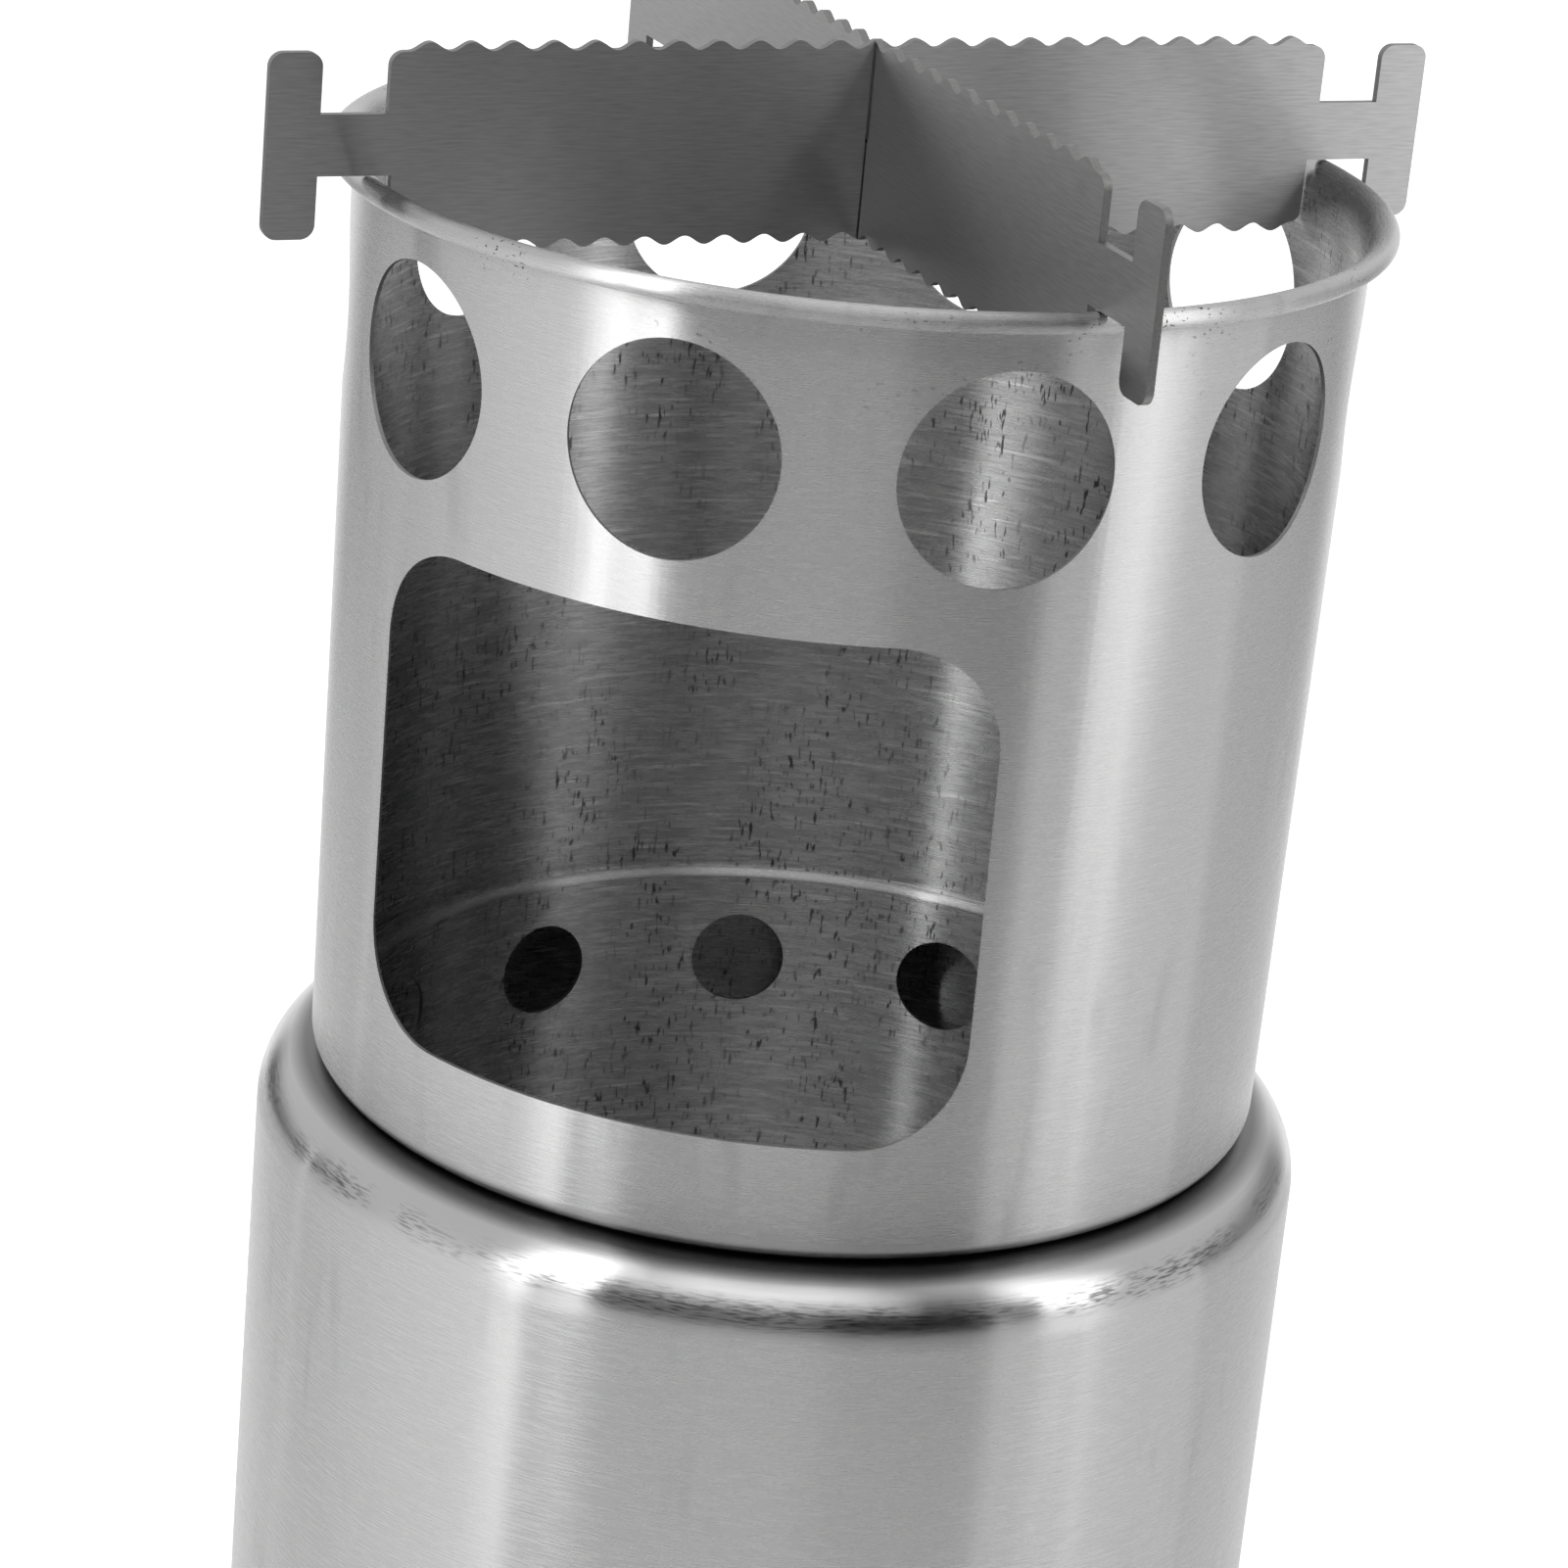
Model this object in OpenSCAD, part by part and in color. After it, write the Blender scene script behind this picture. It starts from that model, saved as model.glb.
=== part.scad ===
// Twig stove of pressed and laser-cut stainless sheet.
// A base with a rounded shoulder carries a fire chamber with a fuel door.
// A fire bowl with air holes hangs in the chamber's foot, and two slotted plates
// on the rim carry the pot. Millimetres, +Z up, the fuel door faces -Y.
// The origin is the centre of the circle that the base stands on.

/* [Sheet] */
// Thickness of the pressed sheet of the base, the chamber, the bowl and the pan
sheet = 0.5; // [0.4:0.05:0.8]
// Gap that a lifted-on piece keeps above its seat
seat_gap = 0.15; // [0.05:0.05:0.3]

/* [Base] */
// Width of the shoulder, from the mouth to the outside of the base
shoulder_w = 9.7; // [9.4:0.1:14]
// Height of the seat that the chamber stands on
base_h = 85; // [70:0.1:100]
// Outer radius of the rounded shoulder
shoulder_r = 8.2; // [4:0.1:8.5]
// Radius of the bend into the mouth's collar, at the middle of the sheet
mouth_bend_r = 1.0; // [0.6:0.1:1.6]
// Straight length of the collar that guides the bowl
collar_h = 2.0; // [1:0.1:6]
// Gap between the bowl and the collar
collar_gap = 0.8; // [0.6:0.1:2]
// Outer radius of the bend at the foot
foot_bend_r = 1.5; // [1:0.1:3]
// Width of the flat ring that the base stands on
foot_ring_w = 4.0; // [2:0.1:8]
// Number of air intakes round the foot
intake_count = 16; // [8:1:20]
// Diameter of an air intake
intake_d = 10; // [6:0.5:12]
// Wall left between the top of the floor's edge and the air intakes
intake_rise = 1.5; // [0.5:0.1:10]
// Turn of the ring of air intakes from the fuel door's middle
intake_turn = -4.5; // [-11:0.1:11]

/* [Base floor] */
// Height of the floor's upturned edge
floor_edge_h = 4; // [3:0.5:8]
// Outer radius of the bend of the floor's edge
floor_bend_r = 1.8; // [1.6:0.1:3]
// Gap between the floor's edge and the base wall
floor_gap = 0.15; // [0.1:0.05:0.4]

/* [Ash pan] */
// Gap round the pan as it is lifted through the base's mouth
pan_gap = 3.7; // [1:0.1:8]
// Height of the pan
pan_h = 8; // [5:0.5:9]
// Width of the pan's turned-out lip
pan_lip_w = 3; // [2:0.1:5]
// Outer radius of the pan's bends
pan_bend_r = 1.6; // [1:0.1:2]

/* [Fire bowl] */
// Outer radius of the bowl
bowl_r = 54.9; // [50:0.1:56]
// Depth of the bowl below the chamber's foot
bowl_drop = 50; // [35:0.5:52]
// Height of the rounded lip above the chamber's foot
lip_h = 2.7; // [2.4:0.1:4]
// Width of the rounded lip
lip_w = 2.3; // [2:0.1:2.3]
// Outer radius of the bend at the bottom of the bowl
bowl_bend_r = 2.5; // [1.5:0.1:4]
// Width of the ledge that carries the grate
ledge_w = 8; // [4:0.5:12]
// Number of air holes round the bowl
bowl_hole_count = 12; // [8:1:14]
// Diameter of an air hole in the bowl
bowl_hole_d = 12.6; // [8:0.1:14]
// Depth of the air holes' centres below the top of the lip
bowl_hole_drop = 12.8; // [10:0.1:25]
// Turn of the bowl in the chamber, which is free
bowl_turn = -4.5; // [-15:0.5:15]
// Gap between the bowl and what guides it
bowl_gap = 0.6; // [0.4:0.05:1.2]

/* [Grate] */
// Thickness of the grate
grate_t = 0.8; // [0.6:0.1:1.5]
// Diameter of a grate hole
grate_hole_d = 6; // [4:0.5:7]
// Distance between the rings of grate holes
grate_pitch = 10.5; // [9:0.5:14]
// Least distance from a grate hole to the ledge under the grate
grate_edge_w = 1; // [0.5:0.5:6]

/* [Chamber] */
// Width of the chamber's turned-in foot, which carries the bowl's lip
foot_w = 3.6; // [3.4:0.1:6]
// Growth of the chamber's radius from its foot to its rim
chamber_taper = 1.1; // [0:0.1:3]
// Height from the chamber's foot to the centre of the rolled rim
chamber_h = 113.5; // [90:0.1:130]
// Outer radius of the bend at the chamber's foot
chamber_bend_r = 2.8; // [1.5:0.1:2.8]
// Radius of the rolled rim's roll, at the outside of the sheet
rim_roll_r = 1.2; // [1:0.05:1.6]
// Distance that the rim flares out from the wall, to the centre of its roll
rim_flare = 2.05; // [1.8:0.05:3]

/* [Exhaust holes] */
// Number of exhaust holes under the rim
exhaust_count = 10; // [6:1:12]
// Diameter of an exhaust hole
exhaust_d = 25; // [16:0.5:28]
// Depth of the exhaust holes' centres below the rim's centre
exhaust_drop = 18.35; // [16:0.05:22]

/* [Fuel door] */
// Width of the fuel door, measured round the wall
door_w = 80; // [50:1:100]
// Height of the fuel door
door_h = 61; // [40:1:64]
// Radius of the fuel door's corners
door_corner_r = 13; // [5:0.5:20]
// Height of the door's sill above the chamber's foot
sill_h = 14.7; // [10:0.1:24]

/* [Pot supports] */
// Thickness of the pot support plates
plate_t = 1.0; // [0.8:0.1:1.5]
// Pitch of the waved edges
wave_pitch = 5.04; // [4:0.01:5.1]
// Height of the waves
wave_h = 1.05; // [0.5:0.05:2]
// Least length from the last wave to the plate's end
wave_margin = 1.2; // [1:0.1:4]
// Height of the wave crests above the rim's centre
crest_z = 16.6; // [12:0.1:24]
// Depth of the lower wave crests below the rim's centre
keel_z = 7.5; // [4:0.1:12]
// Distance that the plate's body ends inside the chamber's outer radius, above the neck
body_inset = 0.1; // [0:0.1:2]
// Gap between the plate's body and the chamber wall
body_gap = 0.3; // [0.25:0.05:1]
// Height of the neck
neck_h = 7.1; // [4:0.1:10]
// Distance from the chamber wall to the inside of the outer tab
tab_gap = 7.9; // [5:0.1:12]
// Width of the outer tab
tab_w = 6.2; // [4:0.1:9]
// Depth of the outer tab's end below the rim's centre
tab_drop = 5.9; // [3:0.1:12]
// Radius of the plate's corners
corner_r = 1.7; // [0.8:0.1:2.4]
// Gap between the plates in their slots, on each side
slot_gap = 0.2; // [0.1:0.05:0.4]
// Turn of the pair of plates on the rim, which is free
support_turn = -1.65; // [-15:0.05:15]

/* [Hidden] */

$fn = 96;
half_sheet = sheet / 2;
bend_steps = 10;
roll_steps = 24;
wave_steps = 8;
spin_facets = 180;
small_facets = 32;
ring_step = 6;
flare_end = 96;
roll_end = -150;
cross_angle = 45;
past = 20;

mouth_r = bowl_r + collar_gap;
base_r = mouth_r + shoulder_w;
pan_r = mouth_r - pan_gap;
chamber_foot_r = bowl_r + bowl_gap + foot_w;
chamber_top_r = chamber_foot_r + chamber_taper;
intake_z = sheet + floor_edge_h + intake_rise + intake_d / 2;
foot_z = base_h + seat_gap;
rim_z = foot_z + chamber_h;
lip_seat_z = foot_z + sheet + seat_gap;
bowl_z = foot_z - bowl_drop;
lip_top_z = foot_z + sheet + lip_h;
grate_r = bowl_r - bowl_bend_r - seat_gap;
grate_rings = floor((bowl_r - ledge_w - grate_edge_w - grate_hole_d / 2) / grate_pitch);
chamber_slope = chamber_taper / chamber_h;
body_half = chamber_top_r - body_inset;
body_low_half = chamber_top_r - sheet - chamber_slope * keel_z - body_gap;
waves_each_side = floor((body_low_half - wave_margin) / wave_pitch - 0.5);
wave_reach = (waves_each_side + 0.5) * wave_pitch;
top_corner_r = min(corner_r, body_half - wave_reach);
low_corner_r = min(corner_r, body_low_half - wave_reach);
tab_in = chamber_top_r + tab_gap;
neck_z = rim_roll_r + seat_gap;
cross_z = (crest_z - keel_z) / 2;
steel = [0.70, 0.70, 0.69];
dark_steel = [0.50, 0.50, 0.50];
plate_steel = [0.44, 0.44, 0.45];

// Points along an arc in the profile plane, centre first, angles in degrees
function arc(x, z, radius, from, to, steps = bend_steps) =
    [for (i = [0:steps]) let (a = from + (to - from) * i / steps)
        [x + radius * cos(a), z + radius * sin(a)]];

function unit(v) = v / norm(v);

// Left-hand normal of the stretch of a path that ends at point i
function normal(path, i) = let (d = unit(path[i] - path[i - 1])) [-d[1], d[0]];

// The path moved sideways, to its left where distance is positive
function beside(path, distance) = let (last = len(path) - 1)
    [for (i = [0:last]) let (a = normal(path, max(i, 1)), b = normal(path, min(i + 1, last)),
                             middle = unit(a + b))
        path[i] + middle * distance / (middle * a)];

function reversed(list) = [for (i = [len(list) - 1:-1:0]) list[i]];

// Sheet metal spun along a path that runs in the middle of the sheet
module spun(path, thickness = sheet) {
    rotate_extrude($fn = spin_facets)
        polygon(concat(beside(path, thickness / 2), reversed(beside(path, -thickness / 2))));
}

// Round holes through a wall of the given radius, with the first one towards -Y
module wall_holes(count, diameter, height, wall_r) {
    for (i = [0:count - 1])
        rotate([0, 0, i * 360 / count]) translate([0, -wall_r, height]) rotate([90, 0, 0])
            cylinder(h = past, d = diameter, center = true);
}

// Path of the base from the mouth's collar over the shoulder to the foot ring
function base_path() = concat(
    [[mouth_r + half_sheet, base_h - half_sheet - mouth_bend_r - collar_h]],
    arc(mouth_r + half_sheet + mouth_bend_r, base_h - half_sheet - mouth_bend_r,
        mouth_bend_r, 180, 90),
    arc(base_r - shoulder_r, base_h - shoulder_r, shoulder_r - half_sheet, 90, 0, roll_steps),
    arc(base_r - foot_bend_r, foot_bend_r, foot_bend_r - half_sheet, 0, -90),
    [[base_r - foot_bend_r - foot_ring_w, half_sheet]]);

module base_shell() {
    color(steel) difference() {
        spun(base_path());
        rotate([0, 0, intake_turn]) wall_holes(intake_count, intake_d, intake_z, base_r);
    }
}

// Path of the floor, which lies on the foot ring with its edge turned up
function floor_path() = let (r = base_r - sheet - floor_gap, z = sheet) concat(
    [[0, z + half_sheet]],
    arc(r - floor_bend_r, z + floor_bend_r, floor_bend_r - half_sheet, -90, 0),
    [[r - half_sheet, z + floor_edge_h]]);

module base_floor() {
    color(dark_steel) spun(floor_path());
}

// Path of the pan from its middle up its side and out to the edge of its lip
function pan_path() = let (wall_r = pan_r - pan_lip_w, z = 2 * sheet + seat_gap) concat(
    [[0, z + half_sheet]],
    arc(wall_r - pan_bend_r, z + pan_bend_r, pan_bend_r - half_sheet, -90, 0),
    arc(wall_r + pan_bend_r - sheet, z + pan_h - pan_bend_r, pan_bend_r - half_sheet, 180, 90),
    [[pan_r, z + pan_h - half_sheet]]);

module ash_pan() {
    color(steel) spun(pan_path());
}

// Path of the bowl from the ledge up its wall and over the rounded lip
function bowl_path() = let (roll = (lip_w - sheet) / 2) concat(
    [[bowl_r - ledge_w, bowl_z + half_sheet]],
    arc(bowl_r - bowl_bend_r, bowl_z + bowl_bend_r, bowl_bend_r - half_sheet, -90, 0),
    arc(bowl_r - half_sheet + roll, lip_top_z - half_sheet - roll, roll, 180, 0, roll_steps),
    [[bowl_r - half_sheet + 2 * roll, lip_seat_z]]);

module fire_bowl() {
    color(steel) difference() {
        spun(bowl_path());
        rotate([0, 0, bowl_turn])
            wall_holes(bowl_hole_count, bowl_hole_d, lip_top_z - bowl_hole_drop, bowl_r);
    }
}

module fire_grate() {
    color(dark_steel) translate([0, 0, bowl_z + sheet + seat_gap]) difference() {
        cylinder(h = grate_t, r = grate_r);
        for (ring = [0:grate_rings])
            let (holes = max(1, ring_step * ring)) for (i = [0:holes - 1])
                rotate([0, 0, i * 360 / holes]) translate([ring * grate_pitch, 0, -past / 2])
                    cylinder(h = past, d = grate_hole_d, $fn = small_facets);
    }
}

// Path of the chamber from its foot up the wall, out at the flare and round the roll
function chamber_path() = let (roll = rim_roll_r - half_sheet,
                               wall_top = chamber_top_r - half_sheet,
                               roll_r = wall_top + rim_flare) concat(
    [[bowl_r + bowl_gap, foot_z + half_sheet]],
    arc(chamber_foot_r - chamber_bend_r, foot_z + chamber_bend_r,
        chamber_bend_r - half_sheet, -90, 0),
    arc(roll_r, rim_z + roll - rim_flare, rim_flare, 180, flare_end),
    arc(roll_r, rim_z, roll, 90, roll_end, roll_steps));

// Fuel door seen from the front, rolled round the wall so that its corners stay round
function door_outline() = let (wall_r = (chamber_top_r + chamber_foot_r) / 2,
                               x = door_w / 2 - door_corner_r,
                               low = sill_h + door_corner_r,
                               high = sill_h + door_h - door_corner_r)
    [for (p = concat(arc(x, low, door_corner_r, -90, 0), arc(x, high, door_corner_r, 0, 90),
                     arc(-x, high, door_corner_r, 90, 180), arc(-x, low, door_corner_r, 180, 270)))
        [wall_r * sin(p[0] / wall_r * 180 / PI), p[1]]];

module fire_chamber() {
    color(steel) difference() {
        spun(chamber_path());
        wall_holes(exhaust_count, exhaust_d, rim_z - exhaust_drop, chamber_top_r);
        translate([0, 0, foot_z]) rotate([90, 0, 0])
            linear_extrude(height = chamber_top_r + past) polygon(door_outline());
    }
}

// A waved edge from the negative to the positive end, with its crests at height z
function waves(z, direction) = let (steps = (2 * waves_each_side + 1) * wave_steps)
    [for (i = [0:steps]) let (x = -wave_reach + 2 * wave_reach * i / steps)
        [x, z - direction * wave_h * (1 - cos(360 * x / wave_pitch)) / 2]];

// Right half's outline from the top of the neck round the tab to the neck's underside
function tab_outline() = let (tab_out = tab_in + tab_w, top = crest_z - wave_h) concat(
    [[tab_in, neck_z + neck_h]],
    reversed(arc(tab_in + corner_r, top - corner_r, corner_r, 90, 180)),
    reversed(arc(tab_out - corner_r, top - corner_r, corner_r, 0, 90)),
    reversed(arc(tab_out - corner_r, corner_r - tab_drop, corner_r, -90, 0)),
    reversed(arc(tab_in + corner_r, corner_r - tab_drop, corner_r, 180, 270)),
    [[tab_in, neck_z]]);

// Right half's outline from the last upper wave to the last lower wave
function end_outline() = let (top = crest_z - wave_h, low = wave_h - keel_z) concat(
    reversed(arc(body_half - top_corner_r, top - top_corner_r, top_corner_r, 0, 90)),
    [[body_half, neck_z + neck_h]],
    tab_outline(),
    [[body_low_half, neck_z]],
    reversed(arc(body_low_half - low_corner_r, low + low_corner_r, low_corner_r, -90, 0)));

function mirrored(list) = [for (p = reversed(list)) [-p[0], p[1]]];

function plate_outline() = concat(waves(crest_z, 1), end_outline(),
                                  reversed(waves(-keel_z, -1)), mirrored(end_outline()));

// Plate standing across the rim, with a slot from its middle to past one edge
module pot_support(turn, slot_up) {
    slot_low = slot_up ? cross_z - slot_gap : -keel_z - past;
    slot_high = slot_up ? crest_z + past : cross_z + slot_gap;
    slot_half = plate_t / 2 + slot_gap;
    rotate([0, 0, turn]) translate([0, plate_t / 2, rim_z]) rotate([90, 0, 0])
        linear_extrude(height = plate_t) difference() {
            polygon(plate_outline());
            translate([-slot_half, slot_low]) square([2 * slot_half, slot_high - slot_low]);
        }
}

module lower_pot_support() {
    color(plate_steel) pot_support(cross_angle + support_turn, true);
}

module upper_pot_support() {
    color(plate_steel) pot_support(support_turn - cross_angle, false);
}

base_shell();
base_floor();
ash_pan();
fire_bowl();
fire_grate();
fire_chamber();
lower_pot_support();
upper_pot_support();
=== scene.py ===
from math import cos, floor, pi, radians, sin, tan

import bpy
import numpy as np
from mathutils import Matrix, Vector


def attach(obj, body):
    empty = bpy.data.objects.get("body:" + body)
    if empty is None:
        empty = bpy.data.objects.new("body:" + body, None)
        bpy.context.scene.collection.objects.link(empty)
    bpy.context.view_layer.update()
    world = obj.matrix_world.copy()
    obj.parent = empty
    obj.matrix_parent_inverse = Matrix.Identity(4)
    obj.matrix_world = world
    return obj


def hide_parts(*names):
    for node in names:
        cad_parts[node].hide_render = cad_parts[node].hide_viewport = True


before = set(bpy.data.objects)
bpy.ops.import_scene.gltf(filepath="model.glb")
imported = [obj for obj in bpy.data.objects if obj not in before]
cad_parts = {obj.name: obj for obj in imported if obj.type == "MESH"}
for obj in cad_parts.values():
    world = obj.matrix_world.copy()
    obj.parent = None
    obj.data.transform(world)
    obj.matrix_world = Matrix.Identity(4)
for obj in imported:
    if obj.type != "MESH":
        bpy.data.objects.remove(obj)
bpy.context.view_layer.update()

# Sizes in millimetres and turns in degrees, the same as in the part's source
SHEET = 0.5
SEAT_GAP = 0.15
BOWL_R, BOWL_DROP, BOWL_BEND_R, LIP_H, LIP_W, LEDGE_W, BOWL_TURN = 54.9, 50, 2.5, 2.7, 2.3, 8, -4.5
BOWL_HOLES, BOWL_HOLE_D, BOWL_HOLE_DROP, BOWL_GAP = 12, 12.6, 12.8, 0.6
BASE_H, SHOULDER_W, SHOULDER_R, MOUTH_BEND_R, COLLAR_H, COLLAR_GAP = 85, 9.7, 8.2, 1.0, 2.0, 0.8
FOOT_BEND_R, FOOT_RING_W, INTAKES, INTAKE_D, INTAKE_RISE, INTAKE_TURN = 1.5, 4, 16, 10, 1.5, -4.5
FLOOR_EDGE_H, FLOOR_BEND_R, FLOOR_GAP = 4, 1.8, 0.15
PAN_GAP, PAN_H, PAN_LIP_W, PAN_BEND_R = 3.7, 8, 3, 1.6
GRATE_T, GRATE_HOLE_D, GRATE_PITCH, GRATE_EDGE_W = 0.8, 6, 10.5, 1
FOOT_W, TAPER, CHAMBER_H, CHAMBER_BEND_R, ROLL_R, FLARE = 3.6, 1.1, 113.5, 2.8, 1.2, 2.05
EXHAUSTS, EXHAUST_D, EXHAUST_DROP = 10, 25, 18.35
DOOR_W, DOOR_H, DOOR_CORNER_R, SILL_H = 80, 61, 13, 14.7
PLATE_T, WAVE_PITCH, WAVE_H, WAVE_MARGIN, CREST_Z, KEEL_Z = 1.0, 5.04, 1.05, 1.2, 16.6, 7.5
BODY_INSET, BODY_GAP, NECK_H, TAB_GAP, TAB_W, TAB_DROP = 0.1, 0.3, 7.1, 7.9, 6.2, 5.9
CORNER_R, SLOT_GAP, CROSS_ANGLE, SUPPORT_TURN = 1.7, 0.2, 45, -1.65
# Where the rim's flare and roll end, in degrees
FLARE_END, ROLL_END = 96, -150

# Worked out from them
HALF_SHEET = SHEET / 2
MOUTH_R = BOWL_R + COLLAR_GAP
BASE_R = MOUTH_R + SHOULDER_W
PAN_R = MOUTH_R - PAN_GAP
INTAKE_Z = SHEET + FLOOR_EDGE_H + INTAKE_RISE + INTAKE_D / 2
FOOT_R = BOWL_R + BOWL_GAP + FOOT_W
TOP_R = FOOT_R + TAPER
FOOT_Z = BASE_H + SEAT_GAP
RIM_Z = FOOT_Z + CHAMBER_H
BOWL_Z = FOOT_Z - BOWL_DROP
LIP_TOP_Z = FOOT_Z + SHEET + LIP_H
GRATE_RINGS = floor((BOWL_R - LEDGE_W - GRATE_EDGE_W - GRATE_HOLE_D / 2) / GRATE_PITCH)

# Sizes of the making: steps of a bend and of a wave, facets of a turn and of a hole
MM = 0.001
BEND_STEPS, WAVE_STEPS = 14, 16
SPIN_STEPS, HOLE_FACETS = 360, 96
# Steps of the door's outline and the length of a cutter in millimetres, a slot's in plates
DOOR_STEP, CUTTER, SLOT_CUTTER = 0.5, 20, 4
# Points of a spun sheet, or of a block, that lie closer than this are one, in metres
SPUN_JOIN, BLOCK_JOIN = 1e-6, 1e-7
# A face whose normal leans further than this from the plate's own is its edge
EDGE_COSINE = 0.5
SMOOTH_BELOW = radians(32)

# Kinds of node that are used often
MATH, VECTOR, RANGE, MIX = "ShaderNodeMath", "ShaderNodeVectorMath", "ShaderNodeMapRange", "ShaderNodeMix"
SPLIT, COMBINE, NOISE = "ShaderNodeSeparateXYZ", "ShaderNodeCombineXYZ", "ShaderNodeTexNoise"
PLACE, SHIFT, MERGE = "GeometryNodeInputPosition", "GeometryNodeTransform", "GeometryNodeMergeByDistance"
# Sockets of a colour mix: how much of the second colour, the first, the second and the result
SHARE, FIRST, SECOND, MIXED = 0, 6, 7, 2
# A point times this lies level with the origin
LEVEL = (1, 1, 0)


def add(tree, kind, inputs=(), **settings):
    """Adds a node with its settings. Its inputs are given in a list, or by name or number in a
    dictionary, each as a value, a socket or a node, which stands for its first output."""
    node = tree.nodes.new(kind)
    for name, value in settings.items():
        setattr(node, name, value)
    for socket, value in inputs.items() if isinstance(inputs, dict) else enumerate(inputs):
        if isinstance(value, bpy.types.Node):
            value = value.outputs[0]
        if isinstance(value, bpy.types.NodeSocket):
            tree.links.new(value, node.inputs[socket])
        else:
            node.inputs[socket].default_value = value
    return node


# Profiles of the pressed sheets, as points (radius, height) in millimetres


def arc(x, z, radius, start, end, steps=BEND_STEPS):
    angles = [radians(start + (end - start) * i / steps) for i in range(steps + 1)]
    return [(x + radius * cos(a), z + radius * sin(a)) for a in angles]


def beside(path, distance):
    """The path moved to its left, with each straight stretch kept exact."""
    points = np.array(path)
    steps = np.diff(points, axis=0)
    normals = np.column_stack([-steps[:, 1], steps[:, 0]]) / np.linalg.norm(steps, axis=1)[:, None]
    before = np.vstack([normals[:1], normals])
    after = np.vstack([normals, normals[-1:]])
    middle = before + after
    middle /= np.linalg.norm(middle, axis=1)[:, None]
    return points + middle * distance / np.sum(middle * before, axis=1)[:, None]


def sheet_outline(path):
    """Closed outline of a sheet whose middle follows the path."""
    return np.vstack([beside(path, HALF_SHEET), beside(path, -HALF_SHEET)[::-1]])


def base_path():
    bend_z = BASE_H - HALF_SHEET - MOUTH_BEND_R
    bend_r = MOUTH_R + HALF_SHEET
    return [(bend_r, bend_z - COLLAR_H),
            *arc(bend_r + MOUTH_BEND_R, bend_z, MOUTH_BEND_R, 180, 90),
            *arc(BASE_R - SHOULDER_R, BASE_H - SHOULDER_R, SHOULDER_R - HALF_SHEET, 90, 0, 3 * BEND_STEPS),
            *arc(BASE_R - FOOT_BEND_R, FOOT_BEND_R, FOOT_BEND_R - HALF_SHEET, 0, -90),
            (BASE_R - FOOT_BEND_R - FOOT_RING_W, HALF_SHEET)]


def floor_path():
    wall_r = BASE_R - SHEET - FLOOR_GAP
    return [(0, SHEET + HALF_SHEET),
            *arc(wall_r - FLOOR_BEND_R, SHEET + FLOOR_BEND_R, FLOOR_BEND_R - HALF_SHEET, -90, 0),
            (wall_r - HALF_SHEET, SHEET + FLOOR_EDGE_H)]


def pan_path():
    wall_r = PAN_R - PAN_LIP_W
    z = 2 * SHEET + SEAT_GAP
    bend = PAN_BEND_R - HALF_SHEET
    return [(0, z + HALF_SHEET),
            *arc(wall_r - PAN_BEND_R, z + PAN_BEND_R, bend, -90, 0),
            *arc(wall_r + PAN_BEND_R - SHEET, z + PAN_H - PAN_BEND_R, bend, 180, 90),
            (PAN_R, z + PAN_H - HALF_SHEET)]


def bowl_path():
    roll = (LIP_W - SHEET) / 2
    wall_r = BOWL_R - HALF_SHEET
    return [(BOWL_R - LEDGE_W, BOWL_Z + HALF_SHEET),
            *arc(BOWL_R - BOWL_BEND_R, BOWL_Z + BOWL_BEND_R, BOWL_BEND_R - HALF_SHEET, -90, 0),
            *arc(wall_r + roll, LIP_TOP_Z - HALF_SHEET - roll, roll, 180, 0, 2 * BEND_STEPS),
            (wall_r + 2 * roll, FOOT_Z + SHEET + SEAT_GAP)]


def chamber_path():
    roll = ROLL_R - HALF_SHEET
    roll_x = TOP_R - HALF_SHEET + FLARE
    return [(BOWL_R + BOWL_GAP, FOOT_Z + HALF_SHEET),
            *arc(FOOT_R - CHAMBER_BEND_R, FOOT_Z + CHAMBER_BEND_R, CHAMBER_BEND_R - HALF_SHEET, -90, 0),
            *arc(roll_x, RIM_Z + roll - FLARE, FLARE, 180, FLARE_END),
            *arc(roll_x, RIM_Z, roll, 90, ROLL_END, 2 * BEND_STEPS)]


# Node trees that make the shapes


def new_tree(name, sizes):
    """A node tree for a modifier, with named inputs and their kinds."""
    tree = bpy.data.node_groups.new(name, "GeometryNodeTree")
    tree.interface.new_socket("Geometry", in_out="INPUT", socket_type="NodeSocketGeometry")
    for label, kind in sizes.items():
        tree.interface.new_socket(label, in_out="INPUT", socket_type="NodeSocket" + kind)
    tree.interface.new_socket("Geometry", in_out="OUTPUT", socket_type="NodeSocketGeometry")
    return tree, tree.nodes.new("NodeGroupInput").outputs


def end_tree(tree, geometry, material, selection):
    """Ends a tree with its instances made real and a material set on the selected faces."""
    real = add(tree, "GeometryNodeRealizeInstances", [geometry])
    painted = add(tree, "GeometryNodeSetMaterial", [real, selection, material])
    add(tree, "NodeGroupOutput", [painted])
    return tree


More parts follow.
